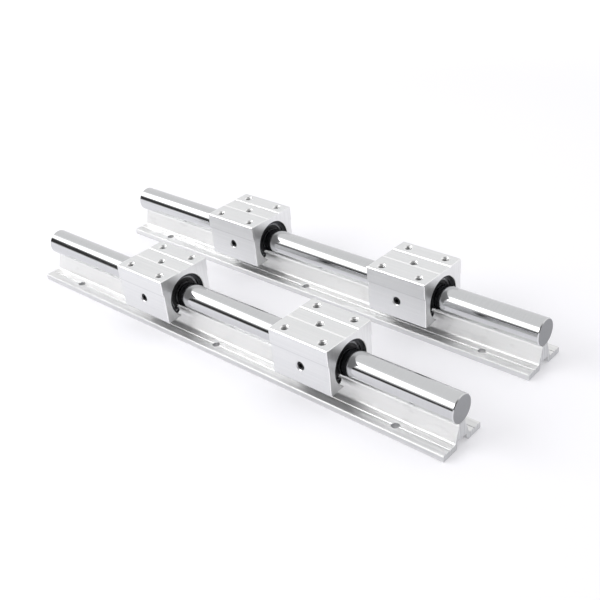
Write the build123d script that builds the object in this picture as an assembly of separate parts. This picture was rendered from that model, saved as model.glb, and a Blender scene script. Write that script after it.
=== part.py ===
from build123d import *
import os
from math import cos, pi, radians, sin, sqrt

# A pair of supported shafts with two open ball-bushing blocks on each.
# X runs along the shafts, Y across them and Z up. The origin is on the ground, midway
# between the rails and midway along them. Sizes are in millimetres, angles in degrees.

# Shafts and their layout
rail_length = 400.0
rail_spacing = 98.0  # between the two shaft axes
shaft_diameter = 20.0
shaft_height = 27.0  # axis above the ground
shaft_chamfer = 0.6

# Support rail section
base_width = 40.0
flange_thickness = 4.5
flange_edge_chamfer = 0.5
root_width = 14.8  # web where it meets the flange
neck_width = 7.0  # web under the shaft
neck_straight = 1.8  # upright part of the web below the cradle lips
root_fillet = 2.0
mark_line_size = 0.4  # V line along the flange holes, that starts the drill
cradle_clearance = 0.02

# Groove under the support rail, for the screw heads
groove_mouth = 12.2
groove_roof = 9.0
groove_depth = 5.8

# Holes through the flanges
flange_hole_diameter = 5.5
flange_hole_spread = 26.0  # across the rail
flange_hole_count = 3  # along each flange
flange_hole_pitch = 160.0

# Low-head screws that hold each shaft from below, M5 x 20
shaft_screw_count = 5
shaft_screw_pitch = 80.0
shaft_screw_diameter = 5.0
shaft_screw_length = 20.0
shaft_screw_head_diameter = 8.5
shaft_screw_head_height = 3.5
shaft_screw_socket = 3.0
shaft_screw_socket_depth = 2.2
shaft_screw_hole = 5.3
shaft_tap_runout = 1.0
lock_washer_thickness = 1.2
lock_washer_width = 1.8
lock_washer_gap = 0.8

# Block housing
block_length = 50.0
block_width = 45.0
block_above_axis = 21.0
block_below_axis = 14.2
side_step = 0.8  # the lower part is this much narrower on each side
side_step_drop = 12.0  # from the top face to the step
channel_depth = 0.4  # shallow channel along the top, off the middle
channel_near = -3.5
channel_far = 9.5
foot_width = 5.6  # flat under each side
lip_angle = 32.0  # from straight down to the edge of the opening
lip_overrun = 2.0  # the cutting outline runs on into the bore by this much
corner_chamfer = 0.5
end_chamfer = 0.4

# Tapped holes of the housing
mount_tap_drill = 5.0  # for an M6 thread
mount_hole_depth = 12.0
mount_pitch_along = 32.0
mount_pitch_across = 32.0
grease_port_diameter = 5.0
side_hole_diameter = 6.0
hole_chamfer = 0.7

# Open ball bushing
ball_diameter = 3.175
bushing_length = 42.0
sleeve_wall = 2.8
sleeve_opening = 36.0  # half angles from straight down
cage_opening = 38.0
seal_opening = 44.0
ring_opening = 47.0
running_clearance = 0.03  # ball to shaft and ball to race
bore_clearance = 0.02  # sleeve in the housing
cage_clearance = 0.1
cage_inner_gap = 0.3  # cage to shaft
snap_groove_width = 1.6
snap_groove_depth = 0.5
snap_groove_spacing = 30.5
oil_hole_diameter = 3.0

# Ball circuits
circuit_angles = (-108.0, -36.0, 36.0, 108.0)  # from straight up
circuit_straight = 26.0
turn_radius = 3.0
ball_play = 0.25  # least free run of each ball in its row
return_lift = 1.0  # the return row runs this much further out
track_clearance = 0.1
turn_clearance = 0.25

# Seals and rings at each end of the bushing
end_pocket_depth = 2.4
end_pocket_wall = 1.6  # sleeve left outside the pocket
seal_thickness = 1.4
seal_lip_thickness = 0.6
seal_lip_reach = 1.3
seal_lip_gap = 0.08
end_ring_thickness = 0.9
end_ring_width = 2.15
retaining_ring_thickness = 1.2
retaining_ring_width = 3.2
retaining_groove_depth = 0.85
lug_radius = 2.2
lug_hole_diameter = 1.8
part_gap = 0.05  # between loose neighbours inside the block

# Set screw in the side of the housing, M6
set_screw_length = 5.0
set_screw_socket = 3.0
set_screw_socket_depth = 2.6
thread_clearance = 0.05

# Where each block stands: middle of the block from the middle of its rail
block_places = {
    "front_left": (-1, -64.5),
    "front_right": (-1, 91.5),
    "rear_left": (1, -68.0),
    "rear_right": (1, 95.5),
}

# Sizes that follow from those above
shaft_radius = shaft_diameter / 2
ball_radius = ball_diameter / 2
loaded_radius = shaft_radius + running_clearance + ball_radius
return_radius = loaded_radius + return_lift
row_radius = (loaded_radius + return_radius) / 2
race_radius = loaded_radius + ball_radius + running_clearance
sleeve_radius = race_radius + sleeve_wall
bore_radius = sleeve_radius + bore_clearance
pocket_radius = sleeve_radius - end_pocket_wall
retaining_groove_radius = bore_radius + retaining_groove_depth
lip_height = shaft_height - sqrt(shaft_radius**2 - (neck_width / 2) ** 2)


def section(outline):
    """The YZ section enclosed by a list of (y, z) points."""
    return make_face(Polyline(*outline, close=True))


def prism(sketch, length, start=None):
    """A section run along X: from start, or centred on the origin."""
    first = -length / 2 if start is None else start
    return extrude(Plane.YZ.offset(first) * sketch, amount=length)


def mirrored(points):
    """The points of one half of an outline, then the other half's, back to front."""
    return points + [(-y, z) for y, z in reversed(points)]


def open_ring(inner, outer, opening):
    """A ring section that is open over a half angle either side of straight down."""
    reach = 3 * outer
    side = reach * sin(radians(opening))
    depth = -reach * cos(radians(opening))
    gap = section([(0, 0), (side, depth), (-side, depth)])
    return Circle(outer) - Circle(inner) - gap


def even_places(count, pitch):
    return [(i - (count - 1) / 2) * pitch for i in range(count)]


def drill(diameter, depth, rim=0.0):
    """A hole down from the origin, with its rim chamfered."""
    tool = Pos(0, 0, -depth / 2) * Cylinder(diameter / 2, depth)
    if rim:
        tool += Pos(0, 0, -rim / 2) * Cone(diameter / 2, diameter / 2 + rim, rim)
    return tool


def hex_socket(across_flats, depth):
    """A hexagonal pocket up from the origin."""
    return extrude(RegularPolygon(across_flats / 2, 6, major_radius=False), amount=depth)


def support_rail():
    """Extruded foot of one shaft, on the ground, with the shaft's cradle on top."""
    mark = flange_hole_spread / 2
    half = [
        (groove_roof / 2, groove_depth),
        (groove_mouth / 2, 0),
        (base_width / 2, 0),
        (base_width / 2, flange_thickness - flange_edge_chamfer),
        (base_width / 2 - flange_edge_chamfer, flange_thickness),
        (mark + mark_line_size, flange_thickness),
        (mark, flange_thickness - mark_line_size),
        (mark - mark_line_size, flange_thickness),
        (root_width / 2, flange_thickness),
        (neck_width / 2, lip_height - neck_straight),
        (neck_width / 2, shaft_height),
    ]
    profile = section(mirrored(half))
    roots = profile.vertices().filter_by(lambda v: abs(abs(v.X) - root_width / 2) < 0.01)
    profile = fillet(roots, root_fillet)
    profile -= Pos(0, shaft_height) * Circle(shaft_radius + cradle_clearance)
    profile -= Pos(0, shaft_height) * Rectangle(base_width, 2 * (shaft_height - lip_height))
    rail = prism(profile, rail_length)
    for x in even_places(flange_hole_count, flange_hole_pitch):
        for y in even_places(2, flange_hole_spread):
            rail -= Pos(x, y, flange_thickness) * drill(flange_hole_diameter, flange_thickness)
    for x in even_places(shaft_screw_count, shaft_screw_pitch):
        rail -= Pos(x, 0, lip_height) * drill(shaft_screw_hole, lip_height - groove_depth)
    return rail


def shaft():
    """Round shaft, tapped from below, on its own axis."""
    rod = Rot(0, 90, 0) * Cylinder(shaft_radius, rail_length)
    rod = chamfer(rod.edges().filter_by(GeomType.CIRCLE), shaft_chamfer)
    tip = screw_seat() + shaft_screw_length - shaft_height
    depth = tip + shaft_tap_runout + shaft_radius
    for x in even_places(shaft_screw_count, shaft_screw_pitch):
        rod -= Pos(x, 0, depth - shaft_radius) * drill(shaft_screw_diameter, depth)
    return rod


def screw_seat():
    """Height of the underside of the shaft screws' washers."""
    return groove_depth - lock_washer_thickness


def shaft_screws():
    """Socket-head screws from the groove up into the shaft."""
    head = Pos(0, 0, -shaft_screw_head_height / 2) * Cylinder(
        shaft_screw_head_diameter / 2, shaft_screw_head_height
    )
    head -= Pos(0, 0, -shaft_screw_head_height) * hex_socket(
        shaft_screw_socket, shaft_screw_socket_depth
    )
    shank = Cylinder(
        shaft_screw_diameter / 2 - thread_clearance,
        shaft_screw_length,
        align=(Align.CENTER, Align.CENTER, Align.MIN),
    )
    screw = head + shank
    places = even_places(shaft_screw_count, shaft_screw_pitch)
    return Compound([Pos(x, 0, screw_seat()) * screw for x in places])


def lock_washers():
    """Split spring washers between the screw heads and the roof of the groove."""
    inner = shaft_screw_diameter / 2 + thread_clearance
    outer = inner + lock_washer_width
    ring = Circle(outer) - Circle(inner) - Pos(outer, 0) * Rectangle(2 * outer, lock_washer_gap)
    washer = extrude(ring, amount=lock_washer_thickness)
    places = even_places(shaft_screw_count, shaft_screw_pitch)
    return Compound([Pos(x, 0, screw_seat()) * washer for x in places])


def housing():
    """Aluminium block with an open bore, about the shaft axis."""
    half = block_width / 2
    low_half = half - side_step
    step = block_above_axis - side_step_drop
    foot = low_half - foot_width
    lip = (bore_radius * sin(radians(lip_angle)), -bore_radius * cos(radians(lip_angle)))
    slope = (lip[1] + block_below_axis) / (foot - lip[0])
    inside = (lip[0] - lip_overrun, lip[1] + slope * lip_overrun)
    outline = [
        (half - corner_chamfer, block_above_axis),
        (half, block_above_axis - corner_chamfer),
        (half, step + side_step),
        (low_half, step),
        (low_half, corner_chamfer - block_below_axis),
        (low_half - corner_chamfer, -block_below_axis),
        (foot, -block_below_axis),
        inside,
    ]
    body = prism(section(mirrored(outline)) - Circle(bore_radius), block_length)
    body = chamfer(body.faces().filter_by(Axis.X).edges(), end_chamfer)
    channel = Box(block_length, channel_far - channel_near, 2 * channel_depth)
    body -= Pos(0, (channel_near + channel_far) / 2, block_above_axis) * channel
    for side in (-1, 1):
        start = side * (bushing_length / 2 + part_gap + retaining_ring_thickness / 2)
        groove = prism(
            Circle(retaining_groove_radius), retaining_ring_thickness + 2 * part_gap
        )
        body -= Pos(start, 0, 0) * groove
    mount_hole = drill(mount_tap_drill, mount_hole_depth, hole_chamfer)
    for x in even_places(2, mount_pitch_along):
        for y in even_places(2, mount_pitch_across):
            body -= Pos(x, y, block_above_axis) * mount_hole
    port_top = block_above_axis - channel_depth
    body -= Pos(0, 0, port_top) * drill(grease_port_diameter, port_top, hole_chamfer)
    body -= Pos(0, -low_half, 0) * Rot(90, 0, 0) * drill(side_hole_diameter, low_half, hole_chamfer)
    return body


def on_circuit(angle, radius=0.0):
    """Frame of one ball circuit: its Z points out from the shaft at that angle."""
    return Rot(-angle, 0, 0) * Pos(0, 0, radius)


def track(radius, side):
    """Straight track of one row of balls, on the side of the circuit given."""
    angle = side * turn_radius / row_radius * 180 / pi
    groove = Rot(0, 90, 0) * Cylinder(ball_radius + track_clearance, circuit_straight)
    return on_circuit(angle, radius) * groove


def circuit_tool():
    """All that a circuit takes out of the sleeve and the cage, at the top."""
    tool = track(loaded_radius, -1) + track(return_radius, 1)
    half_width = ball_radius + turn_clearance
    low = loaded_radius * cos(turn_radius / row_radius) - half_width
    high = return_radius + half_width
    turn = Circle(turn_radius + half_width) - Circle(turn_radius - half_width)
    turn -= Pos(-turn_radius, 0) * Rectangle(2 * turn_radius, 4 * turn_radius)
    bend = Pos(circuit_straight / 2, 0, low) * extrude(turn, amount=high - low)
    return tool + bend + mirror(bend, Plane.YZ)


def sleeve():
    """Steel outer sleeve of the bushing, with its ball tracks."""
    body = prism(open_ring(race_radius, sleeve_radius, sleeve_opening), bushing_length)
    pocket = prism(Circle(pocket_radius), end_pocket_depth)
    snap = Circle(sleeve_radius + snap_groove_depth) - Circle(sleeve_radius - snap_groove_depth)
    for side in (-1, 1):
        body -= Pos(side * (bushing_length - end_pocket_depth) / 2, 0, 0) * pocket
        body -= Pos(side * snap_groove_spacing / 2, 0, 0) * prism(snap, snap_groove_width)
    for angle in circuit_angles:
        body -= on_circuit(angle) * circuit_tool()
    return body - Pos(0, 0, sleeve_radius) * drill(oil_hole_diameter, sleeve_radius)


def cage():
    """Plastic ball cage inside the sleeve."""
    inner = shaft_radius + cage_inner_gap
    outer = race_radius - cage_clearance
    length = bushing_length - 2 * (end_pocket_depth + part_gap)
    body = prism(open_ring(inner, outer, cage_opening), length)
    for angle in circuit_angles:
        body -= on_circuit(angle) * circuit_tool()
    return body


def ball_centre(angle, travel):
    """Centre of the ball that is a given way round its circuit."""
    turn = pi * turn_radius
    end = circuit_straight / 2
    if travel < circuit_straight:
        x, across = travel - end, -turn_radius
    elif travel < circuit_straight + turn:
        bend = (travel - circuit_straight) / turn_radius
        x, across = end + turn_radius * sin(bend), -turn_radius * cos(bend)
    elif travel < 2 * circuit_straight + turn:
        x, across = end - (travel - circuit_straight - turn), turn_radius
    else:
        bend = (travel - 2 * circuit_straight - turn) / turn_radius
        x, across = -end - turn_radius * sin(bend), turn_radius * cos(bend)
    radius = row_radius + return_lift / 2 * across / turn_radius
    polar = radians(angle) + across / row_radius
    return x, radius * sin(polar), radius * cos(polar)


def balls():
    """Every ball of one bushing."""
    loop = 2 * circuit_straight + 2 * pi * turn_radius
    count = int(loop // (ball_diameter + ball_play))
    pitch = loop / count
    return Compound(
        [
            Pos(*ball_centre(angle, i * pitch)) * Sphere(ball_radius)
            for angle in circuit_angles
            for i in range(count)
        ]
    )


def seal(side):
    """Rubber seal in the sleeve's end pocket, with a lip that wipes the shaft."""
    lip_radius = shaft_radius + seal_lip_gap
    outer = pocket_radius - part_gap
    start = bushing_length / 2 - end_pocket_depth
    body = prism(open_ring(lip_radius + seal_lip_reach, outer, seal_opening), seal_thickness, start)
    lip_start = start + seal_thickness - seal_lip_thickness
    lip = open_ring(lip_radius, lip_radius + seal_lip_reach, seal_opening)
    body += prism(lip, seal_lip_thickness, lip_start)
    return to_side(body, side)


def end_ring(side):
    """Thin steel ring that holds the seal in its pocket."""
    outer = pocket_radius - part_gap
    ring = open_ring(outer - end_ring_width, outer, seal_opening)
    start = bushing_length / 2 - end_pocket_depth + seal_thickness + part_gap
    return to_side(prism(ring, end_ring_thickness, start), side)


def retaining_ring(side):
    """Internal retaining ring that keeps the bushing in the housing."""
    outer = retaining_groove_radius - part_gap
    ring = open_ring(outer - retaining_ring_width, outer, ring_opening)
    lug_place = outer - lug_radius - retaining_groove_depth
    for turn in (ring_opening, -ring_opening):
        lug = Rot(0, 0, turn) * Pos(0, -lug_place)
        ring += lug * Circle(lug_radius)
        ring -= lug * Circle(lug_hole_diameter / 2)
    start = bushing_length / 2 + part_gap
    return to_side(prism(ring, retaining_ring_thickness, start), side)


def to_side(body, side):
    """A body made for the right end, put at the end asked for."""
    return body if side > 0 else mirror(body, Plane.YZ)


def set_screw():
    """Hexagon-socket set screw in the side of the housing, against the sleeve."""
    screw = Cylinder(
        side_hole_diameter / 2 - thread_clearance,
        set_screw_length,
        align=(Align.CENTER, Align.CENTER, Align.MAX),
    )
    screw -= Pos(0, 0, -set_screw_socket_depth) * hex_socket(
        set_screw_socket, set_screw_socket_depth
    )
    head = sleeve_radius + part_gap + set_screw_length
    return Pos(0, -head, 0) * Rot(90, 0, 0) * screw


def block_parts():
    """Every piece of one block, about the shaft axis."""
    parts = {
        "housing": housing(),
        "bushing_sleeve": sleeve(),
        "ball_cage": cage(),
        "bearing_balls": balls(),
        "set_screw": set_screw(),
    }
    for end, side in (("left", -1), ("right", 1)):
        parts[f"{end}_seal"] = seal(side)
        parts[f"{end}_end_ring"] = end_ring(side)
        parts[f"{end}_retaining_ring"] = retaining_ring(side)
    return parts


def write(name, body):
    export_step(body, f"parts/{name}.step")


os.makedirs("parts", exist_ok=True)

rail_parts = {
    "support_rail": support_rail(),
    "shaft": Pos(0, 0, shaft_height) * shaft(),
    "shaft_screws": shaft_screws(),
    "lock_washers": lock_washers(),
}
for rail, row in (("front", -1), ("rear", 1)):
    for name, body in rail_parts.items():
        write(f"{rail}_{name}", Pos(0, row * rail_spacing / 2, 0) * body)

block = block_parts()
for place, (row, x) in block_places.items():
    for name, body in block.items():
        write(f"{place}_{name}", Pos(x, row * rail_spacing / 2, shaft_height) * body)
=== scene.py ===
"""Looks for the linear rail kit: materials, floor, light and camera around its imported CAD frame."""

import math

import bpy
from mathutils import Matrix, Vector


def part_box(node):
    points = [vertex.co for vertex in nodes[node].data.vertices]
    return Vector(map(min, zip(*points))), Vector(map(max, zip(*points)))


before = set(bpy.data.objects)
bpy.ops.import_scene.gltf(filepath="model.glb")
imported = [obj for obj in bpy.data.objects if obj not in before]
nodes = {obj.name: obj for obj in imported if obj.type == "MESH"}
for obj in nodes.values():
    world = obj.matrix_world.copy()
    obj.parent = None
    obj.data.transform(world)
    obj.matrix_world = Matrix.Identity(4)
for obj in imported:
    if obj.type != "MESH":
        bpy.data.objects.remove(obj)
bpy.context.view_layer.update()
scene = bpy.context.scene

PLACES = ("front_left", "front_right", "rear_left", "rear_right")

MM = 0.001
RAILS = {"front": -49 * MM, "rear": 49 * MM}  # the middle of each rail, along Y
FLANGE_HOLES = 13 * MM  # from the middle of a rail
BASE_HALF_WIDTH = 20 * MM
AXIS_HEIGHT = 27 * MM  # of the shafts, above the floor
CHANNEL = (-3.5 * MM, 9.5 * MM)  # edges of the channel in a block's top
SIDE_SHADE_DEPTH = 12.3 * MM  # a faint line of painted shade under the step in a block's sides, from its top
BORED_RADIUS = 17.1 * MM  # just past a block's bore and its retaining grooves
HOLE_SPREAD = 16 * MM  # tapped holes, from the middle of a block
TAPPED_RADIUS = 2.5 * MM
TAPPED_REACH = 13 * MM  # just past the bottoms of the four table holes
THREAD_PITCH = 1.0 * MM


class Nodes:
    """A node tree, with short ways to add its nodes."""

    def __init__(self, tree):
        self.tree = tree

    def new(self, kind):
        return self.tree.nodes.new(kind)

    def link(self, value, socket):
        """Puts a number, a tuple or another node's output into a socket."""
        if isinstance(value, bpy.types.NodeSocket):
            self.tree.links.new(value, socket)
        else:
            socket.default_value = value

    def math(self, operation, a, b=0.0, clamp=False):
        node = self.new("ShaderNodeMath")
        node.operation = operation
        node.use_clamp = clamp
        self.link(a, node.inputs[0])
        self.link(b, node.inputs[1])
        return node.outputs[0]

    def step(self, value, low, high):
        """0 below low and 1 above high, smooth between; reversed where low is the larger."""
        node = self.new("ShaderNodeMapRange")
        node.interpolation_type = "SMOOTHSTEP"
        flip = low > high
        self.link(value, node.inputs["Value"])
        node.inputs["From Min"].default_value = min(low, high)
        node.inputs["From Max"].default_value = max(low, high)
        node.inputs["To Min"].default_value = 1.0 if flip else 0.0
        node.inputs["To Max"].default_value = 0.0 if flip else 1.0
        return node.outputs["Result"]

    def blend(self, amount, a, b):
        """Number a where amount is 0 and number b where it is 1."""
        node = self.new("ShaderNodeMix")
        node.data_type = "FLOAT"
        self.link(amount, node.inputs["Factor"])
        self.link(a, node.inputs["A"])
        self.link(b, node.inputs["B"])
        return node.outputs["Result"]

    def total(self, a, b):
        return self.math("ADD", a, b)

    def times(self, a, b):
        return self.math("MULTIPLY", a, b)

    def less(self, a, b):
        """a less b."""
        return self.math("SUBTRACT", a, b)

    def size(self, value):
        """The value without its sign."""
        return self.math("ABSOLUTE", value)

    def distance(self, a, b):
        """How far a point lies from an axis, from its two distances across it."""
        return self.math("SQRT", self.total(self.times(a, a), self.times(b, b)))

    def split(self, vector):
        """A vector's x, y and z."""
        node = self.new("ShaderNodeSeparateXYZ")
        self.link(vector, node.inputs[0])
        return node.outputs[0], node.outputs[1], node.outputs[2]


class Finish(Nodes):
    """One material's nodes, round its principled shader."""

    def __init__(self, name, colour, metal, rough):
        self.material = bpy.data.materials.new(name)
        self.material.use_nodes = True
        super().__init__(self.material.node_tree)
        self.shader = self.tree.nodes["Principled BSDF"]
        self.shader.inputs["Base Color"].default_value = (*colour, 1)
        self.shader.inputs["Metallic"].default_value = metal
        self.shader.inputs["Roughness"].default_value = rough
        self.coords = self.new("ShaderNodeTexCoord")
        self.bumps = []

    def place(self, middle):
        """Position in the part's frame, from a given middle, as separate x, y and z."""
        shift = self.new("ShaderNodeVectorMath")
        shift.operation = "SUBTRACT"
        self.link(self.coords.outputs["Object"], shift.inputs[0])
        shift.inputs[1].default_value = middle
        return self.split(shift.outputs[0])

    def facing(self):
        """The surface's own direction, in the part's frame, as separate x, y and z."""
        return self.split(self.coords.outputs["Normal"])

    def noise_at(self, vector, scale, detail, rough):
        node = self.new("ShaderNodeTexNoise")
        node.inputs["Scale"].default_value = scale
        node.inputs["Detail"].default_value = detail
        node.inputs["Roughness"].default_value = rough
        self.link(vector, node.inputs["Vector"])
        return node.outputs["Fac"]

    def noise(self, scale, stretch, detail, rough, shift=(0, 0, 0)):
        """Noise of about 1/scale metres, with its axes multiplied by stretch."""
        mapping = self.new("ShaderNodeMapping")
        mapping.inputs["Scale"].default_value = stretch
        mapping.inputs["Location"].default_value = shift
        self.link(self.coords.outputs["Object"], mapping.inputs["Vector"])
        return self.noise_at(mapping.outputs["Vector"], scale, detail, rough)

    def noise_along(self, value, scale, detail, rough):
        """Noise that changes with one value only."""
        node = self.new("ShaderNodeCombineXYZ")
        self.link(value, node.inputs["X"])
        return self.noise_at(node.outputs[0], scale, detail, rough)

    def mix(self, amount, a, b):
        """Colour a where amount is 0 and colour b where it is 1."""
        node = self.new("ShaderNodeMix")
        node.data_type = "RGBA"
        self.link(amount, node.inputs["Factor"])
        self.link(a if isinstance(a, bpy.types.NodeSocket) else (*a, 1), node.inputs["A"])
        self.link(b if isinstance(b, bpy.types.NodeSocket) else (*b, 1), node.inputs["B"])
        return node.outputs["Result"]

    def colour(self, value):
        self.link(value, self.shader.inputs["Base Color"])

    def rough(self, value):
        self.link(value, self.shader.inputs["Roughness"])

    def bump(self, height, depth, strength):
        """Raises the surface by height times depth, in metres, on top of the bumps before it."""
        node = self.new("ShaderNodeBump")
        node.inputs["Strength"].default_value = strength
        node.inputs["Distance"].default_value = depth
        self.link(height, node.inputs["Height"])
        if self.bumps:
            self.link(self.bumps[-1], node.inputs["Normal"])
        self.bumps.append(node.outputs["Normal"])
        self.link(self.bumps[-1], self.shader.inputs["Normal"])

    def give(self, name):
        """Puts the material on a piece."""
        for slot in nodes[name].material_slots:
            slot.material = self.material


def screw_thread(finish, turn, height, pitch):
    """Height of a thread, from the angle round its axis and the height along it."""
    phase = finish.total(finish.times(height, 2 * math.pi / pitch), turn)
    return finish.times(finish.total(finish.math("SINE", phase), 1.0), 0.5)


def rail_finish(rail, middle_y):
    """Mill-finish extruded aluminium: drawn lines, a web painted paler as a painted sheen, a groove line
    painted dark as painted shade, and sawn ends.
    """
    f = Finish(f"{rail}_rail_aluminium", (0.80, 0.80, 0.80), 0.88, 0.36)
    y, z = f.place((0, middle_y, 0))[1:]
    side = f.size(y)
    end = f.step(f.size(f.facing()[0]), 0.7, 0.9)
    upper = f.step(z, 4.0 * MM, 5.5 * MM)

    lines = f.noise(620, (0.004, 1, 1), 3.0, 0.55)
    wide_lines = f.noise(260, (0.003, 1, 1), 2.0, 0.5, (0, 0.3, 0))
    blotch = f.noise(42, (0.55, 1, 1.6), 4.0, 0.62, (0.2, 0, 0))
    smears = f.noise(110, (0.45, 1, 1), 4.0, 0.6, (0.1, 0.4, 0))
    saw = f.noise(1500, (1, 1, 0.03), 3.0, 0.6)

    drawn = f.mix(f.step(lines, 0.36, 0.66), (0.74, 0.743, 0.748), (0.835, 0.835, 0.832))
    drawn = f.mix(f.times(f.step(wide_lines, 0.50, 0.66), 0.4), drawn, (0.64, 0.645, 0.655))
    web_marks = f.times(f.step(smears, 0.54, 0.72), upper)
    # Painted sheen: the whole web is painted paler, standing in for the bright light it mirrors
    drawn = f.mix(f.times(upper, 0.9), drawn, (0.985, 0.985, 0.98))
    drawn = f.mix(f.times(web_marks, 0.35), drawn, (0.74, 0.745, 0.74))
    # Painted shade: a dark line along the groove at each flange's hole row
    from_groove = f.size(f.less(side, FLANGE_HOLES))
    groove = f.times(f.step(from_groove, 0.34 * MM, 0.10 * MM), f.less(1.0, upper))
    drawn = f.mix(f.times(groove, 0.85), drawn, (0.42, 0.425, 0.43))
    sawn = f.mix(f.step(saw, 0.35, 0.65), (0.56, 0.565, 0.575), (0.74, 0.745, 0.75))
    f.colour(f.mix(end, drawn, sawn))

    roughness = f.blend(f.step(lines, 0.3, 0.7), 0.46, 0.30)
    roughness = f.blend(f.times(f.step(blotch, 0.45, 0.7), 0.5), roughness, 0.50)
    roughness = f.total(roughness, f.times(upper, 0.08))
    outer = f.step(side, BASE_HALF_WIDTH - 0.8 * MM, BASE_HALF_WIDTH - 0.5 * MM)
    roughness = f.blend(f.times(f.math("MAXIMUM", groove, outer), 0.8), roughness, 0.62)
    f.rough(f.blend(end, roughness, 0.48))
    f.bump(lines, 0.006 * MM, 0.8)
    f.bump(f.times(saw, end), 0.03 * MM, 0.8)
    f.give(f"{rail}_support_rail")


def shaft_finish(rail, middle_y):
    """Ground and chrome-plated steel: faint rings round it, dull turned ends."""
    f = Finish(f"{rail}_shaft_chrome", (0.60, 0.605, 0.615), 1.0, 0.12)
    y, z = f.place((0, middle_y, AXIS_HEIGHT))[1:]
    endways = f.size(f.facing()[0])
    end = f.step(endways, 0.9, 0.97)
    rim = f.times(f.step(endways, 0.3, 0.6), f.less(1.0, end))

    grinding = f.noise(2600, (1, 0.02, 0.02), 3.0, 0.6)
    rubbed = f.noise(500, (0.015, 1, 1), 3.0, 0.6)
    cloud = f.noise(60, (0.4, 1, 1), 3.0, 0.5)
    radius = f.distance(y, z)
    rings = f.noise_along(radius, 2600, 2.0, 0.6)

    plated = f.mix(f.step(grinding, 0.35, 0.65), (0.590, 0.595, 0.606), (0.610, 0.615, 0.626))
    plated = f.mix(f.times(f.step(rubbed, 0.55, 0.72), 0.15), plated, (0.54, 0.545, 0.56))
    turned = f.mix(f.step(rings, 0.35, 0.65), (0.30, 0.305, 0.315), (0.36, 0.365, 0.375))
    coloured = f.mix(end, plated, turned)
    f.colour(f.mix(f.times(rim, 0.6), coloured, (0.74, 0.745, 0.75)))
    roughness = f.blend(f.step(cloud, 0.35, 0.7), 0.085, 0.13)
    roughness = f.blend(f.times(f.step(rubbed, 0.55, 0.72), 0.3), roughness, 0.17)
    f.rough(f.blend(end, roughness, 0.50))
    f.bump(f.times(grinding, f.less(1.0, end)), 0.0004 * MM, 0.5)
    f.bump(f.times(rings, end), 0.02 * MM, 0.6)
    f.give(f"{rail}_shaft")


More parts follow.
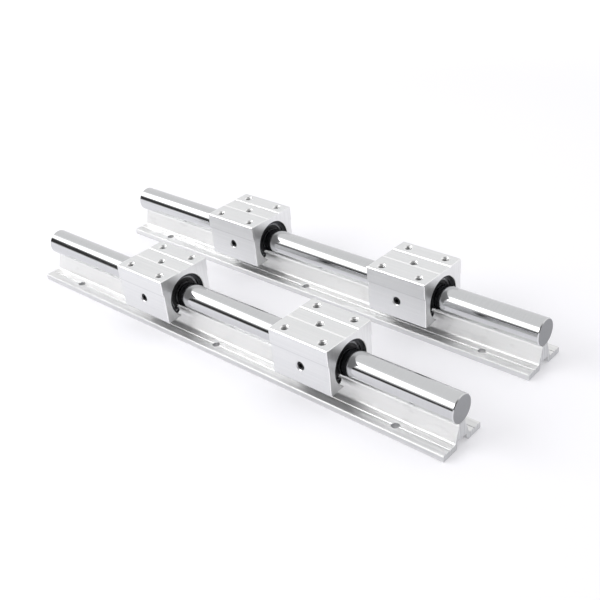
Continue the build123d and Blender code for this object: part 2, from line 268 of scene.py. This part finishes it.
def housing_finish(place):
    """Clear-anodised aluminium: matt grain, milled ends and tapped threads; bright edge lines, partly
    edges broken through the coating and partly painted highlights; painted shade in the bore, the tapped
    holes and under the side step.
    """
    low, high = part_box(f"{place}_housing")
    middle = ((low.x + high.x) / 2, (low.y + high.y) / 2, high.z)
    half_length, half_width = (high.x - low.x) / 2, (high.y - low.y) / 2
    f = Finish(f"{place}_housing_aluminium", (0.80, 0.80, 0.80), 0.85, 0.42)
    x, y, z = f.place(middle)
    nx, ny, nz = f.facing()
    end = f.step(f.size(nx), 0.85, 0.95)
    top = f.step(z, -0.9 * MM, -0.6 * MM)

    grain = f.noise(2300, (1, 1, 1), 2.0, 0.6)
    drawn = f.noise(700, (0.012, 1, 1), 4.0, 0.6)
    cloud = f.noise(38, (0.5, 1, 1), 3.0, 0.5, middle)
    milled = f.noise(1100, (1, 1, 0.05), 3.0, 0.65)

    body = f.mix(f.step(drawn, 0.35, 0.68), (0.785, 0.79, 0.797), (0.82, 0.823, 0.828))
    body = f.mix(f.times(f.step(cloud, 0.4, 0.7), 0.3), body, (0.775, 0.78, 0.79))
    body = f.mix(f.times(f.step(grain, 0.5, 0.75), 0.22), body, (0.70, 0.705, 0.715))
    cut = f.mix(f.step(milled, 0.35, 0.65), (0.83, 0.833, 0.836), (0.885, 0.887, 0.89))
    body = f.mix(end, body, cut)
    # Painted shade: the walls of the bore are darkened, where the block shades them
    axis_z = f.total(z, high.z - AXIS_HEIGHT)
    bored = f.step(f.distance(y, axis_z), BORED_RADIUS + 0.3 * MM, BORED_RADIUS)
    bored = f.times(bored, f.less(1.0, end))
    body = f.mix(f.times(bored, 0.9), body, (0.30, 0.302, 0.31))

    # Bright lines on the edges: partly where a cutter or a hand has broken the coated edges, partly
    # painted highlights, most of all along the channel's steps
    near = f.size(f.less(y, CHANNEL[0]))
    far = f.size(f.less(y, CHANNEL[1]))
    channel = f.math("MAXIMUM", f.step(near, 1.10 * MM, 0.90 * MM), f.step(far, 0.70 * MM, 0.52 * MM))
    channel = f.times(channel, top)
    ends = f.step(f.size(x), half_length - 0.42 * MM, half_length - 0.36 * MM)
    ends = f.times(ends, f.less(1.0, end))
    along = f.step(f.size(y), half_width - 0.55 * MM, half_width - 0.48 * MM)
    along = f.times(along, f.step(z, -0.56 * MM, -0.48 * MM))
    worn = f.math("MAXIMUM", f.math("MAXIMUM", channel, ends), f.times(along, 0.7))

    # Each tapped hole's own x and y: the four table holes, and the one in the middle
    hx = f.less(x, f.times(f.math("SIGN", x), HOLE_SPREAD))
    hy = f.less(y, f.times(f.math("SIGN", y), HOLE_SPREAD))
    corner_r = f.distance(hx, hy)
    centre_r = f.distance(x, y)
    wall = f.less(1.0, top)
    high_up = f.step(z, -TAPPED_REACH - 1 * MM, -TAPPED_REACH)
    reach = TAPPED_RADIUS + 0.08 * MM
    corner = f.times(f.step(corner_r, reach + 0.05 * MM, reach), f.times(wall, high_up))
    centre = f.times(f.step(centre_r, reach + 0.05 * MM, reach), wall)
    corner_thread = screw_thread(f, f.math("ARCTAN2", hy, hx), z, THREAD_PITCH)
    centre_thread = screw_thread(f, f.math("ARCTAN2", y, x), z, THREAD_PITCH)
    thread = f.total(f.times(corner_thread, corner), f.times(centre_thread, centre))
    # Painted shade: the walls of the tapped holes are darkened below their mouths
    hole_shade = f.times(f.math("MAXIMUM", corner, centre), f.step(z, -1.5 * MM, -2.8 * MM))

    # Painted highlight: a bright ring round the mouth of each tapped hole
    rim_r = f.math("MINIMUM", corner_r, centre_r)
    rim = f.step(f.size(f.less(rim_r, TAPPED_RADIUS + 0.35 * MM)), 0.42 * MM, 0.34 * MM)
    rim = f.times(f.times(rim, f.step(nz, 0.98, 0.9)), high_up)
    worn = f.math("MAXIMUM", worn, f.math("SUBTRACT", rim, hole_shade, clamp=True))
    # The bright edge lines and hole rims, partly worn coating and partly painted highlight
    body = f.mix(f.times(worn, 0.95), body, (0.98, 0.98, 0.98))
    # Painted shade: a thin dark line under the step in the block's sides
    side_step_shade = f.step(f.size(f.total(z, SIDE_SHADE_DEPTH)), 0.45 * MM, 0.3 * MM)
    side_step_shade = f.times(side_step_shade, f.step(f.size(ny), 0.3, 0.8))
    body = f.mix(f.times(side_step_shade, 0.35), body, (0.52, 0.525, 0.535))
    # Painted shade inside the tapped holes
    f.colour(f.mix(f.times(hole_shade, 0.75), body, (0.36, 0.36, 0.365)))

    roughness = f.blend(f.step(grain, 0.35, 0.65), 0.36, 0.46)
    roughness = f.blend(f.times(end, 0.85), roughness, f.blend(f.step(milled, 0.35, 0.65), 0.27, 0.35))
    roughness = f.blend(bored, roughness, 0.24)
    f.rough(f.blend(worn, roughness, 0.22))
    f.bump(grain, 0.010 * MM, 0.5)
    f.bump(f.times(drawn, f.less(1.0, end)), 0.006 * MM, 0.6)
    f.bump(f.times(milled, end), 0.014 * MM, 0.6)
    f.bump(thread, 0.45 * MM, 1.0)
    f.give(f"{place}_housing")


def steel_finish(name, dark, light, rough, worn, amount=0.4, scale=900, bump=0.01):
    """Oxide-coated or polished steel: cloudy colour, and scratches where a worn colour is given."""
    f = Finish(name, dark, 1.0 if worn is None else 0.9, rough)
    grain = f.noise(scale, (1, 1, 1), 4.0, 0.6)
    cloud = f.noise(scale / 9, (1, 1, 1), 3.0, 0.55)
    colour = f.mix(f.step(grain, 0.35, 0.68), dark, light)
    if worn is not None:
        scratches = f.noise(scale * 1.6, (0.08, 1, 0.6), 3.0, 0.7)
        colour = f.mix(f.times(f.step(scratches, 0.62, 0.74), amount), colour, worn)
    f.colour(colour)
    f.rough(f.blend(f.step(cloud, 0.35, 0.65), rough - 0.05, rough + 0.08))
    f.bump(grain, bump * MM, 0.6)
    return f


def plastic_finish(name, dark, light, rough, scale=1400):
    """Moulded plastic or rubber: a fine sparkle of grain, and a cloudy gloss."""
    f = Finish(name, dark, 0.0, rough)
    grain = f.noise(scale, (1, 1, 1), 3.0, 0.6)
    cloud = f.noise(scale / 10, (1, 1, 1), 3.0, 0.5)
    f.colour(f.mix(f.step(cloud, 0.35, 0.68), dark, light))
    f.rough(f.blend(f.step(grain, 0.3, 0.7), rough - 0.06, rough + 0.08))
    f.bump(grain, 0.015 * MM, 0.7)
    return f


for rail, middle_y in RAILS.items():
    rail_finish(rail, middle_y)
    shaft_finish(rail, middle_y)
for place in PLACES:
    housing_finish(place)

black = steel_finish("black_steel", (0.018, 0.018, 0.020), (0.045, 0.045, 0.048), 0.38,
                     (0.20, 0.20, 0.205))
spring = steel_finish("spring_steel", (0.30, 0.30, 0.305), (0.42, 0.42, 0.43), 0.34,
                      (0.60, 0.60, 0.60))
sleeve = steel_finish("sleeve_steel", (0.30, 0.305, 0.315), (0.42, 0.425, 0.435), 0.26,
                      (0.62, 0.62, 0.63), amount=0.5)
balls = steel_finish("ball_steel", (0.66, 0.665, 0.675), (0.72, 0.725, 0.735), 0.10,
                     None, scale=2500, bump=0.002)
ring = steel_finish("end_ring_steel", (0.16, 0.163, 0.17), (0.26, 0.263, 0.27), 0.32,
                    (0.5, 0.5, 0.51))
clip = steel_finish("retaining_ring_steel", (0.030, 0.031, 0.034), (0.075, 0.077, 0.082), 0.36,
                    (0.30, 0.30, 0.31))
cage = plastic_finish("cage_plastic", (0.028, 0.028, 0.030), (0.045, 0.045, 0.048), 0.46)
rubber = plastic_finish("seal_rubber", (0.012, 0.012, 0.013), (0.022, 0.022, 0.024), 0.52, 1800)

for rail in RAILS:
    black.give(f"{rail}_shaft_screws")
    spring.give(f"{rail}_lock_washers")
for place in PLACES:
    black.give(f"{place}_set_screw")
    sleeve.give(f"{place}_bushing_sleeve")
    balls.give(f"{place}_bearing_balls")
    cage.give(f"{place}_ball_cage")
    for side in ("left", "right"):
        rubber.give(f"{place}_{side}_seal")
        ring.give(f"{place}_{side}_end_ring")
        clip.give(f"{place}_{side}_retaining_ring")


def floor():
    """A wide pale floor just under the part, white where nothing shades it."""
    mesh = bpy.data.meshes.new("floor")
    reach, drop = 4.0, -0.2 * MM
    corners = [(-reach, -reach, drop), (reach, -reach, drop), (reach, reach, drop), (-reach, reach, drop)]
    mesh.from_pydata(corners, [], [(0, 1, 2, 3)])
    ground = bpy.data.objects.new("floor", mesh)
    scene.collection.objects.link(ground)
    material = bpy.data.materials.new("floor_white")
    material.use_nodes = True
    n = Nodes(material.node_tree)
    n.tree.nodes.clear()
    position = n.new("ShaderNodeTexCoord").outputs["Object"]
    path = n.new("ShaderNodeLightPath")

    # Metal mirrors the strip between the rails a little brighter, as light that they throw on it
    side = n.size(n.split(position)[1])
    strip = n.blend(n.step(side, 20 * MM, 45 * MM), 0.33, 0.24)
    mirrored = n.times(path.outputs["Is Glossy Ray"], strip)
    # Far from the part the lamps fade, so the floor there is kept white for the camera
    length = n.new("ShaderNodeVectorMath")
    length.operation = "LENGTH"
    n.link(position, length.inputs[0])
    far = n.step(length.outputs["Value"], 0.5, 2.0)
    seen = n.times(path.outputs["Is Camera Ray"], n.total(far, 0.24))

    paint = n.new("ShaderNodeBsdfDiffuse")
    paint.inputs["Color"].default_value = (0.79, 0.785, 0.82, 1)
    lift = n.new("ShaderNodeEmission")
    lift.inputs["Color"].default_value = (1, 1, 1, 1)
    n.link(n.total(mirrored, seen), lift.inputs["Strength"])
    both = n.new("ShaderNodeAddShader")
    n.link(paint.outputs[0], both.inputs[0])
    n.link(lift.outputs[0], both.inputs[1])
    n.link(both.outputs[0], n.new("ShaderNodeOutputMaterial").inputs["Surface"])
    mesh.materials.append(material)


def studio():
    """A pale room, with a bright window and dark places for the metal to mirror."""
    world = bpy.data.worlds.new("studio")
    scene.world = world
    world.use_nodes = True
    n = Nodes(world.node_tree)
    n.tree.nodes.clear()
    x, y, z = n.split(n.new("ShaderNodeTexCoord").outputs["Generated"])

    def along(a, b, c):
        """How far the ray points along the direction a, b, c, from -1 to 1."""
        return n.total(n.total(n.times(x, a), n.times(y, b)), n.times(z, c))

    # A broad soft window high at the front left
    sideways = along(0.75, -0.64, 0.18)
    height = n.total(along(0.31, 0.58, 0.76), n.times(sideways, 0.4))
    window = n.times(n.step(height, -0.32, -0.12), n.step(height, 0.28, 0.05))
    window = n.times(window, n.step(sideways, 0.58, 0.28))
    window = n.times(window, n.step(sideways, -0.50, -0.22))
    window = n.times(window, n.step(along(-0.60, -0.51, 0.62), 0.1, 0.3))
    window = n.times(window, window)
    # Below it the dark end of the room, which rises toward the left
    left = n.math("MAXIMUM", n.less(-0.47, x), 0.0)
    over = n.less(z, n.times(left, 0.21))
    under = n.less(z, n.times(left, 0.60))
    dark = n.times(n.step(over, -0.02, 0.03), n.step(under, 0.27, 0.19))
    dark = n.times(dark, n.step(along(-0.20, -0.98, 0.0), 0.05, 0.35))
    # And the unlit side of the room that the camera stands in
    unlit = n.step(along(0.60, -0.62, 0.50), 0.45, 0.85)
    dark = n.math("MAXIMUM", dark, n.times(unlit, 0.85))

    even_light, white, walls, window_light = 0.68, 1.0, 0.95, 4.3
    mirrored = n.total(n.times(window, window_light), n.less(walls, n.times(dark, 0.90)))
    path = n.new("ShaderNodeLightPath")
    lit = n.blend(path.outputs["Is Glossy Ray"], even_light, mirrored)
    clear = n.math("MAXIMUM", path.outputs["Is Camera Ray"], path.outputs["Is Transmission Ray"])
    back = n.new("ShaderNodeBackground")
    back.inputs["Color"].default_value = (1, 1, 1, 1)
    n.link(n.blend(clear, lit, white), back.inputs["Strength"])
    n.link(back.outputs[0], n.new("ShaderNodeOutputWorld").inputs["Surface"])


def softbox(name, toward, distance, size, power):
    """A soft rectangular lamp that faces the middle of the part and isn't mirrored."""
    data = bpy.data.lights.new(name, "AREA")
    data.shape = "RECTANGLE"
    data.size, data.size_y = size
    data.energy = power
    lamp = bpy.data.objects.new(name, data)
    scene.collection.objects.link(lamp)
    way = Vector(toward).normalized()
    lamp.location = way * distance + Vector((0, 0, 0.02))
    lamp.rotation_euler = way.to_track_quat("Z", "Y").to_euler()
    lamp.visible_glossy = False


def camera():
    """The view of the photograph: from the front right, a little over the part."""
    azimuth, elevation, roll = (math.radians(angle) for angle in (44.74, 30.92, -6.1))
    stand = Vector((0.44127, -0.4173, 0.37134))
    level = math.cos(elevation)
    back = Vector((math.sin(azimuth) * level, -math.cos(azimuth) * level, math.sin(elevation)))
    right = Vector((math.cos(azimuth), math.sin(azimuth), 0))
    up = back.cross(right)
    across = math.cos(roll) * right + math.sin(roll) * up
    upward = math.cos(roll) * up - math.sin(roll) * right
    data = bpy.data.cameras.new("camera")
    data.sensor_width = 36
    data.lens = 55.94
    data.clip_start = 0.01
    eye = bpy.data.objects.new("camera", data)
    scene.collection.objects.link(eye)
    turn = Matrix((across, upward, back)).transposed().to_4x4()
    eye.matrix_world = Matrix.Translation(stand) @ turn
    scene.camera = eye


floor()
studio()
softbox("key", (-0.62, -0.62, 0.56), 1.5, (1.5, 0.75), power=11)
softbox("top", (0.1, 0.35, 1.0), 1.6, (1.2, 1.2), power=4)
camera()
scene.view_settings.view_transform = "Standard"
